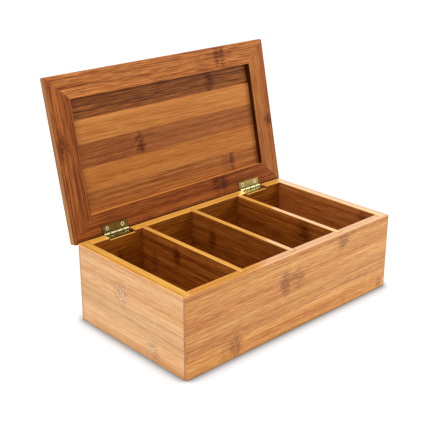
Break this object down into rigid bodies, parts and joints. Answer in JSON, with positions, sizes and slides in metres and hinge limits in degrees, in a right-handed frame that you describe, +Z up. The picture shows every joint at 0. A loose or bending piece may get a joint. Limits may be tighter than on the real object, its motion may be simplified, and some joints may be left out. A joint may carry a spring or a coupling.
{
  "type": "tea bag organizer box",
  "caption": "Rectangular bamboo box on a flat base, divided into narrow compartments for tea bags, with a framed lid hinged along the back.",
  "frame": {"origin": "centre of the body's footprint, on the surface that the box stands on", "axes": "+X along the front from left to right, +Y from the front to the hinges, +Z up"},
  "size_m": [0.3052, 0.2141, 0.2525],
  "materials": {
    "bamboo_case": "satin varnished carbonised bamboo",
    "bamboo_bottom": "satin varnished carbonised bamboo",
    "bamboo_divider": "satin varnished carbonised bamboo",
    "bamboo_lid_frame": "satin varnished carbonised bamboo",
    "bamboo_dark_strip": "satin varnished dark carbonised bamboo",
    "bamboo_light_strip": "satin varnished carbonised bamboo",
    "hinge_plate": "bright yellow-passivated plate",
    "hinge_pin": "bright drawn wire",
    "hinge_screw": "bright yellow-passivated"
  },
  "bodies": {
    "box": {"front_wall": "bamboo_case", "back_wall": "bamboo_case", "left_wall": "bamboo_case", "right_wall": "bamboo_case", "bottom_panel": "bamboo_bottom", "divider_1": "bamboo_divider", "divider_2": "bamboo_divider", "divider_3": "bamboo_divider", "left_hinge_box_leaf": "hinge_plate", "left_hinge_pin": "hinge_pin", "right_hinge_box_leaf": "hinge_plate", "right_hinge_pin": "hinge_pin", "box_hinge_screws": "hinge_screw"},
    "lid": {"lid_front_rail": "bamboo_lid_frame", "lid_back_rail": "bamboo_lid_frame", "lid_left_rail": "bamboo_lid_frame", "lid_right_rail": "bamboo_lid_frame", "lid_panel_strip_1": "bamboo_dark_strip", "lid_panel_strip_2": "bamboo_light_strip", "lid_panel_strip_3": "bamboo_dark_strip", "lid_panel_strip_4": "bamboo_light_strip", "lid_panel_strip_5": "bamboo_dark_strip", "left_hinge_lid_leaf": "hinge_plate", "right_hinge_lid_leaf": "hinge_plate", "lid_hinge_screws": "hinge_screw"}
  },
  "joints": [
    {"name": "lid_hinge", "type": "hinge", "parent": "box", "child": "lid", "pos_m": [0, 0.0851, 0.0853], "axis": [1, 0, 0], "range_deg": [0, 102.2]}
  ]
}
